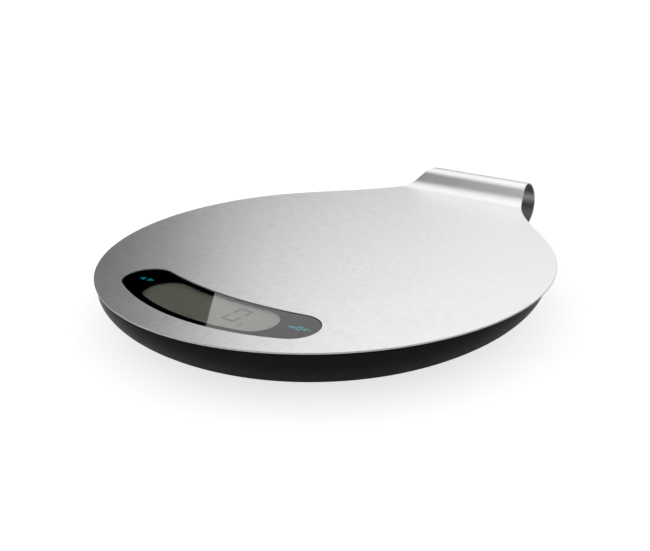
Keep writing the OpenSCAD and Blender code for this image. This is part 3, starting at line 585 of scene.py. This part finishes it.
def add(obj, materials, slot, *replaced, body="scale"):
    """Gives a new piece its material, or a tuple of them for a plate's slots, its body and
    the CAD nodes that it replaces"""
    for material in materials if isinstance(materials, tuple) else (materials,):
        obj.data.materials.append(material)
    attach(obj, body)
    if replaced:
        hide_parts(*replaced)
    return obj


# CAD nodes that stay

for part in frame["record"]["subparts"]:
    obj = frame["nodes"][part["node"]]
    obj.data.materials.clear()
    obj.data.materials.append(looks[part["material_slot"]])


# The weighing disc

outline, flat_count = sheet_outline()
sheet = plate("weighing_sheet", [outline, window_loop()[::-1]], SHEET_T, SHEET_EDGE,
              sheet_place, flat_count, slots=(1, 2))
# The sheet's underside and cut edge carry painted shade in their darker colours
add(sheet, (looks["sheet_steel"], underside, shaded_cut_edge), "sheet_steel", "platter")


# The display window

lens = plate("touch_lens", [window_loop(-LENS_GAP)], LENS_TOP - LENS_UNDER, LENS_EDGE,
             flat_place(LENS_UNDER))
add(lens, looks["lens"], "lens", "display_lens")

mask = plate("window_mask", [window_loop(-LENS_GAP - LENS_EDGE), display_loop()[::-1]],
             LENS_UNDER + BOND_T - MASK_UNDER, INK_T, flat_place(MASK_UNDER))
add(mask, looks["mask"], "mask", "mask_film")

# Key legends: two triangles that point away from each other for the unit key, and a zero
# between arrows for the zero key. Each key has its x and y from the disc's axis and its
# turn in degrees
LEGEND_Z = LENS_UNDER + BOND_T
LEGEND_LINE = 0.7
UNIT_KEY = (-39.5, -63.2, 8)
ZERO_KEY = (41.2, -62.0, 12)
ARROW_HEAD = 1.1
ARROW_INSET = 0.4


def arrow(x0, x1, y, rise):
    """An arrow from x0 to x1 at the height y, its head's tips rise above and below it"""
    way = 1 if x1 > x0 else -1
    back = x1 - way * ARROW_HEAD
    head = [(back, y + rise), (x1, y), (back, y - rise)]
    shaft = [(x0, y), (x1 - way * ARROW_INSET, y)]
    return [stroke(head, LEGEND_LINE), stroke(shaft, LEGEND_LINE)]


def oval(x, y, a, b, width):
    """An upright oval ring as two halves"""
    halves = []
    for start in (-90, 90):
        angles = [math.radians(start + 15 * i) for i in range(13)]
        halves.append(stroke([(x + a * math.cos(t), y + b * math.sin(t)) for t in angles],
                             width))
    return halves


switch = [[(s * 3.9, 0), (s * 0.9, s * 1.35), (s * 0.9, -s * 1.35)] for s in (1, -1)]
zero = arrow(-4.6, -1.7, 0, 1.0) + arrow(4.6, 1.7, 0, 1.0) + oval(0, 0, 0.85, 1.5, LEGEND_LINE)
add(marks("legend_unit_key", [turned(loop, *UNIT_KEY) for loop in switch], LEGEND_Z),
    ink, "mask")
add(marks("legend_zero_key", [turned(loop, *ZERO_KEY) for loop in zero], LEGEND_Z),
    ink, "mask")

# The display's figure 0 and its unit mark
DIGIT_LOW, DIGIT_HIGH = (11.45, -70.25), (16.75, -60.4)
DIGIT_LINE = 1.1
DIGIT_GAP = 0.12
DIGIT_WAIST = 0.6
UNIT_LINE = 0.3


def digit_zero():
    """Six segments with mitred ends, the lower and right-hand ones mirrored"""
    (x0, y0), (x1, y1) = DIGIT_LOW, DIGIT_HIGH
    mid, w, g = (y0 + y1) / 2, DIGIT_LINE / 2, DIGIT_GAP
    top = [(x0 - w + g, y1 + w), (x0 + w + g, y1 - w), (x1 - w - g, y1 - w),
           (x1 + w - g, y1 + w)]
    left = [(x0 - w, y1 + w - g), (x0 - w, mid + DIGIT_WAIST),
            (x0 + w, mid + DIGIT_WAIST + w), (x0 + w, y1 - w - g)]
    right = [(x0 + x1 - x, y) for x, y in left[::-1]]
    upper = [top, left, right]
    return upper + [[(x, y0 + y1 - y) for x, y in loop[::-1]] for loop in upper]


unit_tail = [(21.4, -69.7), (21.4, -72.5), (21.0, -73.0), (20.2, -72.9)]
unit_mark = oval(20.7, -70.7, 0.6, 0.9, UNIT_LINE) + [stroke(unit_tail, UNIT_LINE)]
add(marks("display_digit", digit_zero() + unit_mark, LCD_TOP), segment, "lcd_glass")


# Floor, world, light and camera

def camera_axes(azimuth, pitch):
    a, p = math.radians(azimuth), math.radians(pitch)
    forward = Vector((math.cos(a) * math.cos(p), math.sin(a) * math.cos(p), math.sin(p)))
    right = Vector((math.sin(a), -math.cos(a), 0))
    return right, right.cross(forward), forward


right, up, forward = camera_axes(CAMERA_AZIMUTH, CAMERA_PITCH)
roll = math.radians(CAMERA_ROLL)
axis_x = right * math.cos(roll) - up * math.sin(roll)
axis_y = right * math.sin(roll) + up * math.cos(roll)
camera = bpy.data.objects.new("camera", bpy.data.cameras.new("camera"))
bpy.context.scene.collection.objects.link(camera)
camera.matrix_world = Matrix.Translation(Vector(CAMERA_AT) * MM) @ Matrix(
    (axis_x, axis_y, -forward)).transposed().to_4x4()
camera.data.lens = CAMERA_LENS
camera.data.sensor_width = CAMERA_SENSOR
camera.data.clip_start = 0.01
camera.data.clip_end = 50
bpy.context.scene.camera = camera


def stage_object(name, vertices, faces, material):
    mesh = bpy.data.meshes.new(name)
    mesh.from_pydata([Vector(v) * MM for v in vertices], [], faces)
    mesh.materials.append(material)
    obj = bpy.data.objects.new(name, mesh)
    bpy.context.scene.collection.objects.link(obj)
    return obj


def floor_material():
    """White paper. To the camera and in mirrors most of its white is its own light, so that
    the object's shadow stays faint; mirrors lose that light under the object. From below
    the paper is clear, and the light comes up through it where the base hides it, so that
    the object's underside can be seen."""
    s = Shade("floor", PAPER, 0.9, Specular_IOR_Level=0.0, Emission_Color=(1, 1, 1, 1))
    path = s.node("LightPath")
    distance = s.tree.nodes.new("ShaderNodeVectorMath")
    distance.operation = "DISTANCE"
    distance.inputs[1].default_value = (0, DISC_Y * MM, 0)
    s.tree.links.new(s.node("TexCoord").outputs["Object"], distance.inputs[0])
    fade = s.between(distance.outputs["Value"], 0, 1, FLOOR_FADE[0] * MM, FLOOR_FADE[1] * MM)
    mirrored = s.math("MAXIMUM", path.outputs["Is Glossy Ray"],
                      path.outputs["Is Transmission Ray"])
    seen = s.math("MAXIMUM", path.outputs["Is Camera Ray"], s.math("MULTIPLY", mirrored, fade))
    s.set("Base Color", s.mixed(seen, PAPER, (FLOOR_SHADED,) * 3))
    s.set("Emission Strength", s.between(seen, 0.0, FLOOR_LIGHT, 0, 1))
    under = s.between(distance.outputs["Value"], 1, 0, FLOOR_OPEN[0] * MM, FLOOR_OPEN[1] * MM)
    unseen = s.between(path.outputs["Is Camera Ray"], 1, 0, 0, 1)
    clear = s.math("MAXIMUM", s.node("NewGeometry").outputs["Backfacing"],
                   s.math("MULTIPLY", unseen, under))
    sides = s.node("MixShader", Fac=clear)
    s.tree.links.new(s.bsdf.outputs["BSDF"], sides.inputs[1])
    s.tree.links.new(s.node("BsdfTransparent").outputs["BSDF"], sides.inputs[2])
    s.tree.links.new(sides.outputs["Shader"], s.tree.nodes["Material Output"].inputs["Surface"])
    return s.material


stage_object("floor", [(-FLOOR, -FLOOR, 0), (FLOOR, -FLOOR, 0), (FLOOR, FLOOR, 0),
                       (-FLOOR, FLOOR, 0)], [(0, 1, 2, 3)], floor_material())


def card_edge(elevation):
    """The azimuth of the card's edge at that elevation, in degrees"""
    eye = Vector(CAMERA_AT)
    eye.z = 2 * LENS_TOP - eye.z
    a, b = [Vector((x, DISC_Y + y, LENS_TOP)) for x, y in CARD_EDGE]
    plane = (a - eye).cross(b - eye).normalized()
    if plane.x > 0:
        plane = -plane
    low, high = CARD_STRAIGHT
    e = math.radians(min(max(elevation, low), high))
    level = plane.dot(eye) - plane.z * CARD_R * math.sin(e)
    flat = math.hypot(plane.x, plane.y)
    edge = math.atan2(plane.y, plane.x) - math.acos(level / (flat * CARD_R * math.cos(e)))
    return (math.degrees(edge) % 360 - CARD_LEAN[0] * max(0, low - elevation)
            - CARD_LEAN[1] * max(0, elevation - high))


def card():
    """A dark card curved round the back left of the object. The camera doesn't see it,
    and it takes no light from matt surfaces; only gloss mirrors it."""
    rows, columns = 40, 12
    vertices = []
    for i in range(rows + 1):
        elevation = CARD_LOW + (CARD_HIGH - CARD_LOW) * i / rows
        e, edge = math.radians(elevation), card_edge(elevation)
        for j in range(columns + 1):
            t = math.radians(edge + (CARD_END - edge) * j / columns)
            vertices.append((CARD_R * math.cos(e) * math.cos(t),
                             CARD_R * math.cos(e) * math.sin(t), CARD_R * math.sin(e)))
    faces = []
    for i in range(rows):
        for j in range(columns):
            k = i * (columns + 1) + j
            faces.append((k, k + 1, k + columns + 2, k + columns + 1))
    s = Shade("dark_card", (0.0, 0.0, 0.0), 1.0, Specular_IOR_Level=0.0)
    obj = stage_object("dark_card", vertices, faces, s.material)
    obj.visible_camera = False
    obj.visible_diffuse = False
    obj.visible_shadow = False


def studio():
    """A white studio, brightest half-way up on one side. The camera sees it plain white."""
    world = bpy.data.worlds.new("studio")
    world.use_nodes = True
    nodes, links = world.node_tree.nodes, world.node_tree.links
    sight = nodes.new("ShaderNodeTexCoord").outputs["Generated"]

    def along(direction):
        node = nodes.new("ShaderNodeVectorMath")
        node.operation = "DOT_PRODUCT"
        node.inputs[1].default_value = direction
        links.new(sight, node.inputs[0])
        return node.outputs["Value"]

    def ranged(value, start, end, low, high):
        node = nodes.new("ShaderNodeMapRange")
        node.interpolation_type = "SMOOTHSTEP"
        for key, number in zip(("From Min", "From Max", "To Min", "To Max"),
                               (start, end, low, high)):
            node.inputs[key].default_value = number
        links.new(value, node.inputs["Value"])
        return node.outputs["Result"]

    def product(a, b):
        node = nodes.new("ShaderNodeMath")
        node.operation = "MULTIPLY"
        links.new(a, node.inputs[0])
        links.new(b, node.inputs[1])
        return node.outputs[0]

    height = along((0, 0, 1))
    level = product(ranged(height, *SKY_RISE, SKY_LOW, SKY_HIGH),
                    ranged(height, *SKY_FALL, 1, SKY_TOP))
    side = along((math.cos(SKY_AZIMUTH), math.sin(SKY_AZIMUTH), 0))
    level = product(level, ranged(side, *SKY_TURN, SKY_SIDE, 1))
    seen = nodes.new("ShaderNodeMix")
    links.new(nodes.new("ShaderNodeLightPath").outputs["Is Camera Ray"], seen.inputs["Factor"])
    links.new(level, seen.inputs["A"])
    seen.inputs["B"].default_value = 1
    links.new(seen.outputs["Result"], nodes["Background"].inputs["Strength"])
    nodes["Background"].inputs["Color"].default_value = (1, 1, 1, 1)
    bpy.context.scene.world = world


card()
studio()
bpy.context.scene.view_settings.view_transform = "Standard"
